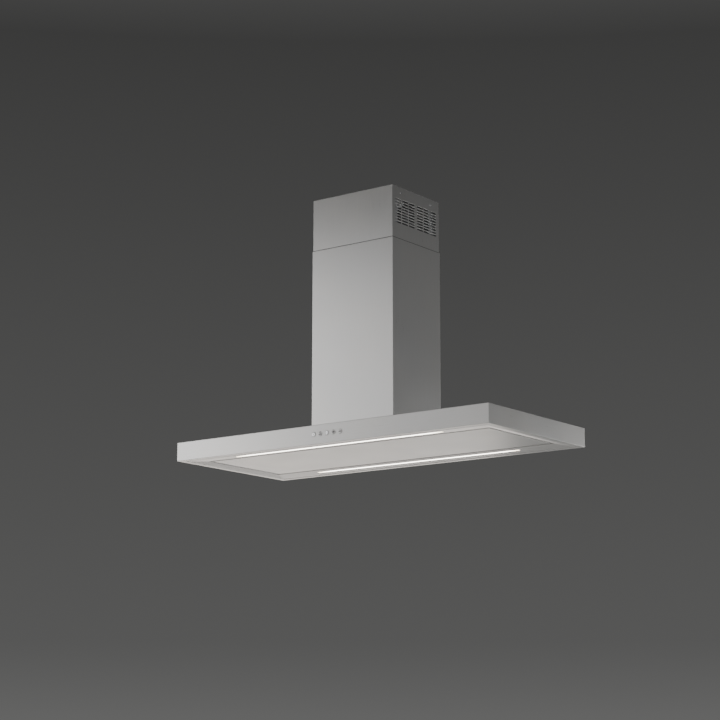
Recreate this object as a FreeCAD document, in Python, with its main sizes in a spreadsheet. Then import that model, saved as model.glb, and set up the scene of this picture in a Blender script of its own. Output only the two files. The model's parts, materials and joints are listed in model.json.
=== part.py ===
import FreeCAD, Part
import math
import os
import re
import Sketcher

# Island range hood that hangs from the ceiling.
# Millimetres. The origin is the middle of the ceiling bracket's top face, +Z is up,
# -Y is the front with the buttons, and +X is to the right of someone who faces the buttons.

Vector = FreeCAD.Vector
Rotation = FreeCAD.Rotation
doc = FreeCAD.newDocument("island_hood")

# ---------------------------------------------------------------- driving dimensions

DIMENSIONS = {
    # outer shape
    "canopy_width": 1200, "canopy_depth": 545, "canopy_height": 60, "rim_drop": 830,
    "chimney_width": 318, "chimney_depth": 260, "chimney_step": 170,
    "upper_chimney_length": 450, "chimney_gap": 0.5, "sheet": 1, "edge_round": 0.8,
    # underside
    "lip_width": 18, "border_rise": 5, "opening_width": 1090, "opening_depth": 364,
    "opening_flange": 12, "suction_gap": 10, "panel_edge": 14, "panel_drop": 1,
    "backing_thick": 6,
    # light strips
    "led_length": 800, "led_width": 14, "led_tall": 9, "led_offset": 213, "led_proud": 3,
    # vents
    "slot_long": 32, "slot_tall": 5, "slot_pitch_y": 36.8, "slot_pitch_z": 9.15,
    "vent_columns": 3, "vent_rows": 9, "vent_first_y": 23, "vent_top": 42.5,
    # ceiling bracket
    "bracket_thick": 3, "bracket_flange": 30, "fit_gap": 0.3, "duct_opening_r": 90,
    "ceiling_hole_r": 4, "ceiling_hole_x": 110, "ceiling_hole_y": 95,
    "cable_hole_r": 14, "cable_hole_x": 118, "cover_screw_y": 82, "cover_screw_drop": 18,
    "cover_screw_r": 1.5, "cover_screw_long": 8, "cover_head_tall": 1.6,
    # support frame
    "upright_leg": 30, "upright_sheet": 2, "frame_half_x": 151, "frame_half_y": 122,
    "upper_upright_length": 417, "lower_upright_top": 110, "slot_first": 122, "slot_last": 408,
    "clamp_slot": 6.6, "clamp_high": 130, "clamp_low": 200, "tab_size": 20,
    "bolt_r": 3, "bolt_head_r": 5, "bolt_hole_r": 3.05, "clamp_bolt_long": 11, "clamp_head_tall": 3,
    "nut_tall": 5, "ring_thick": 2, "ring_margin": 4, "tie_high": 455, "tie_tall": 25,
    # blower
    "blower_half_x": 145, "blower_half_y": 116, "blower_tall": 210, "inlet_half_x": 125,
    "inlet_half_y": 92, "duct_r": 75, "collar_wall": 1.5, "collar_tall": 60,
    "volute_half": 60, "volute_wall": 2, "scroll_r": 77, "scroll_step": 9, "scroll_x": -62,
    "scroll_drop": 676, "inlet_r": 58, "cutoff_angle": 65,
    "impeller_r": 70, "impeller_half": 55, "blade_depth": 12, "blade_half_thick": 0.6,
    "blade_count": 36, "end_ring_thick": 3, "disc_thick": 2, "hub_long": 16,
    "shaft_r": 4, "motor_r": 40, "motor_long": 50, "spider_arm_wide": 12,
    "flap_high": 28, "flap_thick": 1, "flap_pin_r": 2, "flap_inset": 3.7,
    "knuckle_wall": 1.2, "knuckle_long": 27.6, "knuckle_pitch": 28, "web_long": 2.5,
    # filters
    "tray_half_x": 480, "tray_half_y": 148, "tray_tall": 19, "filter_long": 300,
    "filter_deep": 280, "filter_thick": 9, "filter_rim": 12, "filter_pitch": 305,
    "mesh_thick": 6, "hook_sheet": 1.5, "keeper_reach": 6.5, "ledge_reach": 12,
    "latch_long": 60, "latch_deep": 16, "latch_thick": 3, "latch_lip": 2, "latch_travel": 6,
    # panel hinge
    "hinge_y": 155, "hinge_drop": 806, "hinge_x": 400, "hinge_pin_r": 2, "ear_thick": 3,
    "arm_wide": 12, "ear_wide": 10, "ear_foot_long": 24,
    # controls
    "button_r": 7, "button_pitch": 25.5, "button_first_x": -39, "button_high": 31,
    "button_proud": 1.6, "button_gap": 0.35, "button_travel": 1.5, "stem_r": 3,
    "button_flange_r": 8.5, "button_flange": 1.4, "stem_end": 8.9, "holder_front": 4.5,
    "holder_thick": 4, "holder_tall": 22, "holder_overhang": 16, "holder_post": 5,
    "switch_deep": 3.5, "switch_wide": 6, "board_thick": 1.6,
    # fasteners and catches
    "base_screw_x": 135, "base_screw_pitch": 60, "base_screw_r": 2.5, "base_head_r": 4.5,
    "base_head_tall": 3, "catch_y": 159, "catch_long": 20, "catch_wide": 12,
    "catch_gap": 0.4, "striker_tall": 8,
    # electronics box
    "wiring_x": 118, "wiring_half_x": 25, "wiring_half_y": 60, "wiring_tall": 80,
    "gland_bore_r": 4, "gland_r": 9, "gland_tall": 22, "driver_wide": 36, "driver_long": 60,
    "driver_tall": 22, "terminals_wide": 18, "terminals_long": 45, "terminals_tall": 16,
    "terminal_pitch": 9, "terminal_hole_r": 2,
}

sheet = doc.addObject("Spreadsheet::Sheet", "Dims")
for row, (alias, number) in enumerate(DIMENSIONS.items(), start=1):
    sheet.set(f"A{row}", str(number))
    sheet.setAlias(f"A{row}", alias)
doc.recompute()


def bound(text):
    """Give an expression on the sheet: every alias in the text gets the sheet's name before it."""
    return re.sub(r"[a-z][a-z0-9_]*",
                  lambda word: "Dims." + word.group() if word.group() in DIMENSIONS else word.group(),
                  str(text))


def size(alias):
    """Read one number back from the sheet."""
    return float(sheet.get(alias))


# ---------------------------------------------------------------- primitives and booleans

TURN = {"x": Rotation(Vector(0, 1, 0), 90), "y": Rotation(Vector(1, 0, 0), -90), "z": Rotation()}


def place(item, spot, turn=Rotation()):
    item.Placement = FreeCAD.Placement(Vector(), turn)
    for axis, where in zip("xyz", spot):
        item.setExpression(f"Placement.Base.{axis}", bound(where))
    return item


def box(name, low, lengths):
    item = doc.addObject("Part::Box", name)
    for side, length in zip(("Length", "Width", "Height"), lengths):
        item.setExpression(side, bound(length))
    return place(item, low)


def cylinder(name, start, radius, length, along="z"):
    item = doc.addObject("Part::Cylinder", name)
    item.setExpression("Radius", bound(radius))
    item.setExpression("Height", bound(length))
    return place(item, start, TURN[along])


def hexagon(name, start, radius, length, along="z"):
    item = doc.addObject("Part::Prism", name)
    item.Polygon = 6
    item.setExpression("Circumradius", bound(radius))
    item.setExpression("Height", bound(length))
    return place(item, start, TURN[along])


def group(name, items):
    item = doc.addObject("Part::Compound", name)
    item.Links = items
    return item


def cut(name, base, *tools):
    item = doc.addObject("Part::Cut", name)
    item.Base = base
    item.Tool = tools[0] if len(tools) == 1 else group(name + "_tools", list(tools))
    return item


def fuse(name, *items):
    item = doc.addObject("Part::MultiFuse", name)
    item.Shapes = list(items)
    item.Refine = True
    return item


# ---------------------------------------------------------------- part design helpers

def new_body(name):
    return doc.addObject("PartDesign::Body", name)


def datum(body, role):
    return [item for item in body.Origin.OriginFeatures if item.Role == role][0]


def new_sketch(body, name, role="XY_Plane", offset="0"):
    sketch = body.newObject("Sketcher::SketchObject", name)
    sketch.AttachmentSupport = (datum(body, role), [""])
    sketch.MapMode = "FlatFace"
    sketch.setExpression("AttachmentOffset.Base.z", bound(offset))
    return sketch


def pin_down(sketch, kind, geometry, point, text, start):
    """Fix one coordinate of a point to an expression, measured from the sketch's origin."""
    index = sketch.addConstraint(Sketcher.Constraint(kind, -1, 1, geometry, point, start))
    sketch.renameConstraint(index, f"c{index}")
    sketch.setExpression(f"Constraints.c{index}", bound(text))


def rectangle(sketch, x_low, x_high, y_low, y_high):
    first = sketch.GeometryCount
    corners = [Vector(-1, -1, 0), Vector(1, -1, 0), Vector(1, 1, 0), Vector(-1, 1, 0)]
    sketch.addGeometry([Part.LineSegment(corners[i], corners[(i + 1) % 4]) for i in range(4)], False)
    for i in range(4):
        sketch.addConstraint(Sketcher.Constraint("Coincident", first + i, 2, first + (i + 1) % 4, 1))
        sketch.addConstraint(Sketcher.Constraint("Vertical" if i % 2 else "Horizontal", first + i))
    pin_down(sketch, "DistanceX", first, 1, x_low, -1)
    pin_down(sketch, "DistanceY", first, 1, y_low, -1)
    pin_down(sketch, "DistanceX", first + 2, 1, x_high, 1)
    pin_down(sketch, "DistanceY", first + 2, 1, y_high, 1)


def centred(sketch, half_x, half_y):
    rectangle(sketch, f"-({half_x})", half_x, f"-({half_y})", half_y)


def circle(sketch, x, y, radius):
    index = sketch.GeometryCount
    sketch.addGeometry(Part.Circle(Vector(1, 1, 0), Vector(0, 0, 1), 1), False)
    pin_down(sketch, "DistanceX", index, 3, x, 1)
    pin_down(sketch, "DistanceY", index, 3, y, 1)
    size_rule = sketch.addConstraint(Sketcher.Constraint("Radius", index, 1))
    sketch.renameConstraint(size_rule, f"c{size_rule}")
    sketch.setExpression(f"Constraints.c{size_rule}", bound(radius))


def outline(sketch, points):
    """A closed outline of straight lines, every corner bound to a pair of expressions."""
    first = sketch.GeometryCount
    count = len(points)
    start = [Vector(math.cos(2 * math.pi * i / count), math.sin(2 * math.pi * i / count), 0)
             for i in range(count)]
    sketch.addGeometry([Part.LineSegment(start[i], start[(i + 1) % count]) for i in range(count)], False)
    for i in range(count):
        sketch.addConstraint(Sketcher.Constraint("Coincident", first + i, 2, first + (i + 1) % count, 1))
    for i, (x, y) in enumerate(points):
        pin_down(sketch, "DistanceX", first + i, 1, x, start[i].x)
        pin_down(sketch, "DistanceY", first + i, 1, y, start[i].y)


def pad(body, name, sketch, length, reverse=False):
    item = body.newObject("PartDesign::Pad", name)
    item.Profile = sketch
    item.setExpression("Length", bound(length))
    item.Reversed = reverse
    doc.recompute()
    return item


def pocket(body, name, sketch, length, reverse=False):
    """Cut a sketch's shape out of the body. A pocket that removes nothing is an error."""
    before = body.Shape.Volume
    item = body.newObject("PartDesign::Pocket", name)
    item.Profile = sketch
    item.setExpression("Length", bound(length))
    item.Reversed = reverse
    doc.recompute()
    if not item.Shape.Volume < before:
        raise ValueError(f"{name} cuts nothing")
    return item


def revolve(body, name, sketch):
    item = body.newObject("PartDesign::Revolution", name)
    item.Profile = sketch
    item.ReferenceAxis = (sketch, ["V_Axis"])
    doc.recompute()
    return item


def round_edges(body, name, feature, wanted, radius="edge_round"):
    edges = [f"Edge{i}" for i, edge in enumerate(feature.Shape.Edges, start=1) if wanted(edge)]
    item = body.newObject("PartDesign::Fillet", name)
    item.Base = (feature, edges)
    item.setExpression("Radius", bound(radius))
    doc.recompute()
    return item


def is_upright_corner(half_x, half_y):
    """Tests for the vertical edges at the four outer corners of a rectangular body."""
    def wanted(edge):
        middle = edge.CenterOfMass
        return (abs(abs(middle.x) - half_x) < 0.01 and abs(abs(middle.y) - half_y) < 0.01
                and edge.BoundBox.ZLength > 1)
    return wanted


def inward(side, face, thick):
    """Low edge of a slab that reaches inwards from a face on one side of the middle."""
    return f"{side} * ({face}) - {int(side > 0)} * ({thick})"


def outward(side, face, thick):
    """Low edge of a slab that stands out from a face on one side of the middle."""
    return f"{side} * ({face}) - {int(side < 0)} * ({thick})"


# heights used by several pieces, all measured down from the ceiling
RIM = "-rim_drop"
TOP = "-rim_drop + canopy_height"
BORDER = "-rim_drop + sheet + border_rise"
PANEL = "-rim_drop + sheet + border_rise - panel_drop"
TRAY = "-rim_drop + canopy_height - sheet - tray_tall"
BLOWER_TOP = "-rim_drop + canopy_height + ring_thick + blower_tall"
BUTTONS = 5
TERMINALS = 5
FILTERS = ((1, -1), (2, 0), (3, 1))
SIDES = (("left", -1), ("right", 1))
ENDS = (("front", -1), ("rear", 1))


# ---------------------------------------------------------------- ceiling mount

def ceiling_bracket():
    """Bent plate against the ceiling: duct opening, four bolt holes, a cable hole and two flanges."""
    body = new_body("ceiling_bracket")
    half_x = "chimney_width / 2 - sheet - chimney_gap - sheet - fit_gap"
    half_y = "chimney_depth / 2 - sheet - chimney_gap - sheet - fit_gap"
    plate = new_sketch(body, "bracket_plate")
    centred(plate, half_x, half_y)
    circle(plate, "0", "0", "duct_opening_r")
    pad(body, "bracket_pad", plate, "bracket_thick", reverse=True)
    for name, side in SIDES:
        flange = new_sketch(body, f"bracket_flange_{name}")
        edges = (f"{side} * ({half_x})", f"{side} * ({half_x} - upright_sheet)")
        rectangle(flange, edges[side > 0], edges[side < 0], f"-({half_y})", half_y)
        pad(body, f"bracket_flange_pad_{name}", flange, "bracket_flange", reverse=True)
    holes = new_sketch(body, "bracket_holes")
    for x in (-1, 1):
        for y in (-1, 1):
            circle(holes, f"{x} * ceiling_hole_x", f"{y} * ceiling_hole_y", "ceiling_hole_r")
            circle(holes, *tab_bolt_spot(x, y), "bolt_hole_r")
    circle(holes, "-cable_hole_x", "0", "cable_hole_r")
    pocket(body, "bracket_hole_cut", holes, "bracket_thick")
    side_holes = new_sketch(body, "bracket_side_holes", "YZ_Plane")
    for y in (-1, 1):
        circle(side_holes, f"{y} * cover_screw_y", "-cover_screw_drop", "cover_screw_r + 0.1")
    drill = pocket(body, "bracket_side_cut", side_holes, "2 * canopy_depth")
    drill.Midplane = True
    doc.recompute()
    return body


def tab_bolt_spot(x, y):
    return (f"{x} * (frame_half_x - upright_sheet - tab_size / 2)",
            f"{y} * (frame_half_y - upright_sheet - tab_size / 2)")


def upper_upright(name, x, y):
    """Angle that hangs from the bracket, with a long clamping slot and a bent tab at its top."""
    foot = "-bracket_thick - upper_upright_length"
    leg_x = box(name + "_leg_x", (inward(x, "frame_half_x", "upright_leg"),
                                  inward(y, "frame_half_y", "upright_sheet"), foot),
                ("upright_leg", "upright_sheet", "upper_upright_length"))
    leg_y = box(name + "_leg_y", (inward(x, "frame_half_x", "upright_sheet"),
                                  inward(y, "frame_half_y", "upright_leg"), foot),
                ("upright_sheet", "upright_leg", "upper_upright_length"))
    tab = box(name + "_tab", (inward(x, "frame_half_x - upright_sheet", "tab_size"),
                              inward(y, "frame_half_y - upright_sheet", "tab_size"),
                              "-bracket_thick - upright_sheet"),
              ("tab_size", "tab_size", "upright_sheet"))
    tab_hole = cylinder(name + "_tab_hole", (*tab_bolt_spot(x, y), "-bracket_thick - 2 * upright_sheet"),
                        "bolt_hole_r", "3 * upright_sheet")
    slot = box(name + "_slot", (f"{x} * frame_half_x - upright_leg / 2",
                                f"{y} * (frame_half_y - upright_leg / 2) - clamp_slot / 2", "-slot_last"),
               ("upright_leg", "clamp_slot", "slot_last - slot_first"))
    return cut(name, fuse(name + "_angle", leg_x, leg_y, tab), tab_hole, slot)


def vented_chimney():
    """Upper chimney cover: a bent tube with two groups of horizontal slots on each narrow side."""
    body = new_body("chimney_upper")
    half_x = "chimney_width / 2 - sheet - chimney_gap"
    half_y = "chimney_depth / 2 - sheet - chimney_gap"
    section = new_sketch(body, "upper_section")
    centred(section, half_x, half_y)
    centred(section, f"{half_x} - sheet", f"{half_y} - sheet")
    tube = pad(body, "upper_tube", section, "upper_chimney_length", reverse=True)
    corner = is_upright_corner(tube.Shape.BoundBox.XMax, tube.Shape.BoundBox.YMax)
    round_edges(body, "upper_bends", tube, corner)
    holes = new_sketch(body, "cover_screw_holes", "YZ_Plane")
    for y in (-1, 1):
        circle(holes, f"{y} * cover_screw_y", "-cover_screw_drop", "cover_screw_r + 0.1")
    drill = pocket(body, "cover_screw_cut", holes, "2 * chimney_width")
    drill.Midplane = True
    slot = new_sketch(body, "vent_slot", "YZ_Plane")
    for start in ("vent_first_y", "-vent_first_y - (vent_columns - 1) * slot_pitch_y"):
        rectangle(slot, f"{start} - slot_long / 2", f"{start} + slot_long / 2",
                  "-vent_top - slot_tall / 2", "-vent_top + slot_tall / 2")
    first = pocket(body, "vent_first", slot, "2 * chimney_width")
    first.Midplane = True
    grid = body.newObject("PartDesign::LinearPattern", "vent_grid")
    grid.Originals = [first]
    grid.Direction = (slot, ["H_Axis"])
    grid.setExpression("Length", bound("(vent_columns - 1) * slot_pitch_y"))
    grid.setExpression("Occurrences", bound("vent_columns"))
    grid.Direction2 = (slot, ["V_Axis"])
    grid.Reversed2 = True
    grid.setExpression("Length2", bound("(vent_rows - 1) * slot_pitch_z"))
    grid.setExpression("Occurrences2", bound("vent_rows"))
    body.Tip = grid
    doc.recompute()
    return body


def upper_screws():
    """Four small screws through the cover into the bracket, and four bolts under the upright tabs."""
    items = []
    face = "chimney_width / 2 - sheet - chimney_gap"
    for name, side in SIDES:
        for end, where in ENDS:
            label = f"cover_screw_{name}_{end}"
            y, z = f"{where} * cover_screw_y", "-cover_screw_drop"
            shank = cylinder(label + "_shank", (inward(side, face, "cover_screw_long"), y, z),
                             "cover_screw_r", "cover_screw_long", along="x")
            head = cylinder(label + "_head", (outward(side, face, "cover_head_tall"), y, z),
                            "2 * cover_screw_r", "cover_head_tall", along="x")
            items.append(fuse(label, shank, head))
            label = f"tab_bolt_{name}_{end}"
            spot = (*tab_bolt_spot(side, where), "-bracket_thick - upright_sheet")
            shank = cylinder(label + "_shank", spot, "bolt_r", "bracket_thick + upright_sheet - 0.5")
            head = cylinder(label + "_head", (*spot[:2], f"{spot[2]} - bolt_r - 1"),
                            "bolt_head_r", "bolt_r + 1")
            items.append(fuse(label, shank, head))
    return group("upper_screws", items)


# ---------------------------------------------------------------- hood: support frame

def base_ring():
    """Flat ring on the canopy that carries the uprights, with six screw holes."""
    ring = box("ring_plate", ("-frame_half_x - ring_margin", "-frame_half_y - ring_margin", TOP),
               ("2 * (frame_half_x + ring_margin)", "2 * (frame_half_y + ring_margin)", "ring_thick"))
    window = box("ring_window", ("-inlet_half_x", "-inlet_half_y", f"{TOP} - 1"),
                 ("2 * inlet_half_x", "2 * inlet_half_y", "ring_thick + 2"))
    holes = [cylinder(f"ring_hole_{i}", (x, y, f"{TOP} - 1"), "base_screw_r + 0.1", "ring_thick + 2")
             for i, (x, y) in enumerate(base_screw_spots())]
    return cut("base_ring", ring, window, *holes)


def base_screw_spots():
    return [(f"{side} * base_screw_x", f"{row} * base_screw_pitch")
            for side in (-1, 1) for row in (-1, 0, 1)]


def base_screws():
    """Six screws that hold the ring down on the canopy, heads underneath."""
    items = []
    for i, (x, y) in enumerate(base_screw_spots()):
        shank = cylinder(f"base_screw_{i}_shank", (x, y, f"{TOP} - sheet"),
                         "base_screw_r", "sheet + ring_thick + 2")
        head = cylinder(f"base_screw_{i}_head", (x, y, f"{TOP} - sheet - base_head_tall"),
                        "base_head_r", "base_head_tall")
        items.append(fuse(f"base_screw_{i}", shank, head))
    return group("base_screws", items)


def lower_upright(name, x, y):
    """Angle that stands on the ring inside an upper upright, with two bolt holes near its top."""
    half_x = "frame_half_x - upright_sheet - fit_gap"
    half_y = "frame_half_y - upright_sheet - fit_gap"
    foot = f"{TOP} + ring_thick"
    tall = "rim_drop - canopy_height - ring_thick - lower_upright_top"
    leg_x = box(name + "_leg_x", (inward(x, half_x, "upright_leg"),
                                  inward(y, half_y, "upright_sheet"), foot),
                ("upright_leg", "upright_sheet", tall))
    leg_y = box(name + "_leg_y", (inward(x, half_x, "upright_sheet"),
                                  inward(y, half_y, "upright_leg"), foot),
                ("upright_sheet", "upright_leg", tall))
    holes = [cylinder(f"{name}_hole_{drop}",
                      (f"{x} * frame_half_x - 10", f"{y} * (frame_half_y - upright_leg / 2)", f"-{drop}"),
                      "bolt_hole_r", "20", along="x")
             for drop in ("clamp_high", "clamp_low")]
    return cut(name, fuse(name + "_angle", leg_x, leg_y), *holes)


def clamp_bolts():
    """Eight bolts with nuts that clamp the lower uprights in the slots of the upper ones."""
    items = []
    outer = "frame_half_x + fit_gap"
    inner = "frame_half_x - 2 * upright_sheet - fit_gap"
    for name, side in SIDES:
        for end, where in ENDS:
            for drop in ("clamp_high", "clamp_low"):
                label = f"clamp_{name}_{end}_{drop}"
                y, z = f"{where} * (frame_half_y - upright_leg / 2)", f"-{drop}"
                shank = cylinder(label + "_shank", (inward(side, outer, "clamp_bolt_long"), y, z),
                                 "bolt_r", "clamp_bolt_long", along="x")
                head = cylinder(label + "_head", (outward(side, outer, "clamp_head_tall"), y, z),
                                "bolt_head_r", "clamp_head_tall", along="x")
                items.append(fuse(label, shank, head))
                spot = (inward(side, inner, "nut_tall"), y, z)
                nut = hexagon(label + "_nut_blank", spot, "bolt_head_r + 0.5", "nut_tall", along="x")
                bore = cylinder(label + "_nut_bore", (f"{side} * ({inner}) - nut_tall - 1", y, z),
                                "bolt_r", "2 * nut_tall + 2", along="x")
                items.append(cut(label + "_nut", nut, bore))
    return group("clamp_bolts", items)


def frame_ties():
    """Two flat bars that tie the lower uprights together, front and rear."""
    half_x = "(frame_half_x - 2 * upright_sheet - fit_gap)"
    face = "frame_half_y - 2 * upright_sheet - fit_gap"
    bars = [box(f"tie_{end}", (f"-{half_x}", inward(where, face, "upright_sheet"), "-tie_high - tie_tall"),
                (f"2 * {half_x}", "upright_sheet", "tie_tall"))
            for end, where in ENDS]
    return group("frame_ties", bars)


# ---------------------------------------------------------------- hood: canopy

def canopy_shell():
    """Folded steel box: top, four walls, an inward lip at the rim, blower opening and button holes."""
    body = new_body("canopy_shell")
    half_x, half_y = "canopy_width / 2", "canopy_depth / 2"
    block = new_sketch(body, "canopy_block", offset=RIM)
    centred(block, half_x, half_y)
    solid = pad(body, "canopy_pad", block, "canopy_height")
    bounds = solid.Shape.BoundBox
    corner = is_upright_corner(bounds.XMax, bounds.YMax)

    def wanted(edge):
        return corner(edge) or abs(edge.CenterOfMass.z - bounds.ZMax) < 0.01
    round_edges(body, "canopy_bends", solid, wanted)
    inside = new_sketch(body, "canopy_inside", offset=f"{RIM} + sheet")
    centred(inside, f"{half_x} - sheet", f"{half_y} - sheet")
    pocket(body, "canopy_hollow", inside, "canopy_height - 2 * sheet", reverse=True)
    mouth = new_sketch(body, "canopy_mouth", offset=RIM)
    centred(mouth, f"{half_x} - lip_width", f"{half_y} - lip_width")
    pocket(body, "canopy_mouth_cut", mouth, "sheet", reverse=True)
    inlet = new_sketch(body, "canopy_inlet", offset=TOP)
    centred(inlet, "inlet_half_x", "inlet_half_y")
    for x, y in base_screw_spots():
        circle(inlet, x, y, "base_screw_r + 0.1")
    pocket(body, "canopy_inlet_cut", inlet, "2 * sheet")
    row = new_sketch(body, "button_holes", "XZ_Plane", offset="canopy_depth / 2")
    for i in range(BUTTONS):
        circle(row, f"button_first_x + {i} * button_pitch", f"{RIM} + button_high", "button_r + button_gap")
    pocket(body, "button_hole_cut", row, "2 * sheet")
    return body


def underside_frame():
    """Sloping border between the lip and the suction opening, with an upstand and two light slots."""
    body = new_body("underside_frame")
    outer = ("canopy_width / 2 - lip_width", "canopy_depth / 2 - lip_width")
    inner = ("opening_width / 2", "opening_depth / 2")
    foot, head = f"{RIM} + sheet", f"{BORDER}"

    def frustum(name, kind, drop):
        low = new_sketch(body, name + "_low", offset=f"{foot} - {drop}")
        centred(low, *outer)
        high = new_sketch(body, name + "_high", offset=f"{head} - {drop}")
        centred(high, *inner)
        item = body.newObject(kind, name)
        item.Profile = low
        item.Sections = [high]
        doc.recompute()

    frustum("border_slope", "PartDesign::AdditiveLoft", "0")
    collar = new_sketch(body, "border_upstand", offset=f"{head} - sheet")
    centred(collar, "opening_width / 2 + sheet", "opening_depth / 2 + sheet")
    pad(body, "border_upstand_pad", collar, "opening_flange")
    frustum("border_hollow", "PartDesign::SubtractiveLoft", "sheet")
    flange = new_sketch(body, "border_flange", offset=foot)
    centred(flange, "canopy_width / 2 - 2 * sheet", "canopy_depth / 2 - 2 * sheet")
    centred(flange, "canopy_width / 2 - lip_width - 2 * sheet", "canopy_depth / 2 - lip_width - 2 * sheet")
    pad(body, "border_flange_pad", flange, "sheet")
    mouth = new_sketch(body, "border_mouth", offset=f"{head} - 2 * sheet")
    centred(mouth, *inner)
    pocket(body, "border_mouth_cut", mouth, "opening_flange + 2 * sheet", reverse=True)
    slots = new_sketch(body, "led_slots", offset=foot)
    half_x, half_y = "(led_length / 2 + 0.1)", "(led_width / 2 + 0.1)"
    for where in (-1, 1):
        rectangle(slots, f"-{half_x}", half_x,
                  f"{where} * led_offset - {half_y}", f"{where} * led_offset + {half_y}")
    pocket(body, "led_slot_cut", slots, "border_rise + 2 * sheet", reverse=True)
    return body


def led_profile(end, where):
    """Aluminium channel, open downwards, that holds one light strip."""
    low = f"{RIM} + led_proud"
    block = box(f"led_block_{end}", ("-led_length / 2", f"{where} * led_offset - led_width / 2", low),
                ("led_length", "led_width", "led_tall"))
    room = box(f"led_room_{end}", ("-led_length / 2 + sheet", f"{where} * led_offset - led_width / 2 + sheet",
                                   f"{low} - 1"),
               ("led_length - 2 * sheet", "led_width - 2 * sheet", "led_tall - sheet + 1"))
    return cut(f"led_profile_{end}", block, room)


def led_boards():
    """Circuit strips against the roofs of the two channels."""
    return group("led_boards", [
        box(f"led_board_{end}", ("-led_length / 2 + 4", f"{where} * led_offset - led_width / 2 + 2",
                                 f"{RIM} + led_proud + led_tall - sheet - board_thick"),
            ("led_length - 8", "led_width - 4", "board_thick"))
        for end, where in ENDS])


def led_diffuser(end, where):
    """Opal cover flush with the channel's mouth."""
    return box(f"led_diffuser_{end}", ("-led_length / 2 + sheet",
                                       f"{where} * led_offset - led_width / 2 + sheet",
                                       f"{RIM} + led_proud"),
               ("led_length - 2 * sheet", "led_width - 2 * sheet", "1.5 * sheet"))


# ---------------------------------------------------------------- hood: filters

def filter_tray():
    """Inverted tray under the canopy's top with three filter openings, keepers and rear ledges."""
    outer = box("tray_block", ("-tray_half_x", "-tray_half_y", TRAY),
                ("2 * tray_half_x", "2 * tray_half_y", "tray_tall"))
    room = box("tray_room", ("-tray_half_x + sheet", "-tray_half_y + sheet", f"{TRAY} + sheet"),
               ("2 * tray_half_x - 2 * sheet", "2 * tray_half_y - 2 * sheet", "tray_tall"))
    windows = [box(f"tray_window_{number}", (f"{i} * filter_pitch - filter_long / 2 + filter_rim",
                                             "-filter_deep / 2 + filter_rim", f"{TRAY} - 1"),
                   ("filter_long - 2 * filter_rim", "filter_deep - 2 * filter_rim", "3 * sheet"))
               for number, i in FILTERS]
    parts = [cut("tray_sheet", outer, room, *windows)]
    for number, i in FILTERS:
        keeper_drop = "filter_thick + fit_gap + latch_thick + hook_sheet"
        parts += hook(f"keeper_{number}", i, -1, keeper_drop, "keeper_reach")
        parts += hook(f"ledge_{number}", i, 1, "filter_thick + 1", "ledge_reach")
    return fuse("filter_tray", *parts)


def hook(name, i, where, drop, reach):
    """Short wall down from the tray's edge with a shelf that a filter or its latch rests on."""
    long_side = "latch_long + 10"
    left = f"{i} * filter_pitch - ({long_side}) / 2"
    foot = f"{TRAY} - ({drop}) - hook_sheet"
    wall = box(name + "_wall", (left, inward(where, "tray_half_y", "hook_sheet"), foot),
               (long_side, "hook_sheet", f"{drop} + hook_sheet + sheet / 2"))
    shelf = box(name + "_shelf", (left, inward(where, "tray_half_y", reach), foot),
                (long_side, reach, "hook_sheet"))
    return [wall, shelf]


def filter_frame(number, i):
    """Rim of one grease filter cassette."""
    high = f"{TRAY} - fit_gap - filter_thick"
    block = box(f"rim_block_{number}", (f"{i} * filter_pitch - filter_long / 2", "-filter_deep / 2", high),
                ("filter_long", "filter_deep", "filter_thick"))
    room = box(f"rim_room_{number}", (f"{i} * filter_pitch - filter_long / 2 + filter_rim",
                                      "-filter_deep / 2 + filter_rim", f"{high} - 1"),
               ("filter_long - 2 * filter_rim", "filter_deep - 2 * filter_rim", "filter_thick + 2"))
    return cut(f"filter_rim_{number}", block, room)


def filter_meshes():
    """Packs of expanded aluminium mesh inside the three rims."""
    foot = f"{TRAY} - fit_gap - (filter_thick + mesh_thick) / 2"
    return group("filter_meshes", [
        box(f"filter_mesh_{number}", (f"{i} * filter_pitch - filter_long / 2 + filter_rim",
                                      "-filter_deep / 2 + filter_rim", foot),
            ("filter_long - 2 * filter_rim", "filter_deep - 2 * filter_rim", "mesh_thick"))
        for number, i in FILTERS])


def filter_latch(number, i):
    """Sliding handle under the rim's front side, with a tongue that rests on the keeper."""
    high = f"{TRAY} - 2 * fit_gap - filter_thick - latch_thick"
    left = f"{i} * filter_pitch - latch_long / 2"
    front = "-filter_deep / 2"
    plate = box(f"latch_plate_{number}", (left, f"{front} + 2", high),
                ("latch_long", "latch_deep", "latch_thick"))
    tongue = box(f"latch_tongue_{number}", (f"{i} * filter_pitch - latch_long / 4",
                                            f"{front} - latch_travel", high),
                 ("latch_long / 2", "latch_travel + 3", "latch_thick - 1"))
    lip = box(f"latch_lip_{number}", (left, f"{front} + latch_deep", f"{high} - latch_thick"),
              ("latch_long", "latch_lip", "latch_thick + 1"))
    return fuse(f"filter_latch_{number}", plate, tongue, lip)


# ---------------------------------------------------------------- hood: controls

def button_spot(i):
    return (f"button_first_x + {i} * button_pitch", "-canopy_depth / 2", f"{RIM} + button_high")


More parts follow.
